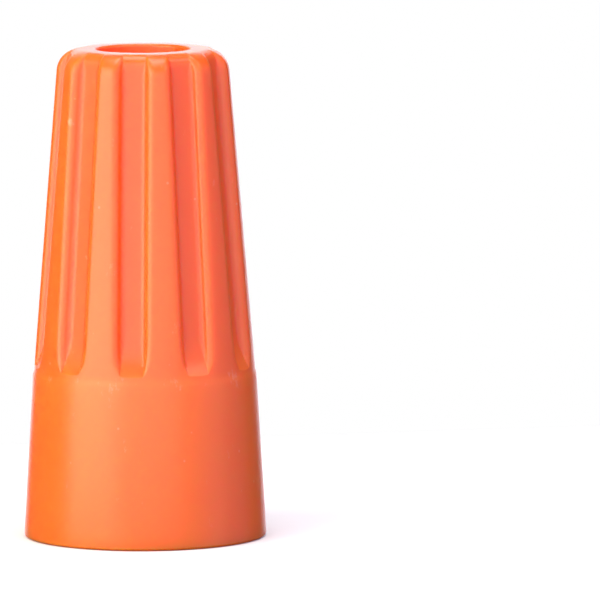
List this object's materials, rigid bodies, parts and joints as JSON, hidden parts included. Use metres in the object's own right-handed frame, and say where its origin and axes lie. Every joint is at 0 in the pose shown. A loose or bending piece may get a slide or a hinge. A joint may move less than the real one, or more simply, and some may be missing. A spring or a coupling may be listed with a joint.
{
  "type": "twist-on wire connector",
  "caption": "Tapered ribbed plastic twist-on connector with an open threaded mouth, a blind recess in its closed end and a conical square-wire spring inside.",
  "frame": {"origin": "centre of the mouth rim, which the connector stands on", "axes": "+Z along the connector's axis, from the open mouth up to the closed end; one flute's middle faces +X"},
  "size_m": [0.0119, 0.012, 0.024],
  "materials": {
    "orange_plastic": "satin moulded, slightly translucent orange thermoplastic",
    "spring_steel": "zinc-plated drawn square wire"
  },
  "bodies": {
    "root": {"shell": "orange_plastic", "coil_spring": "spring_steel"}
  },
  "joints": []
}
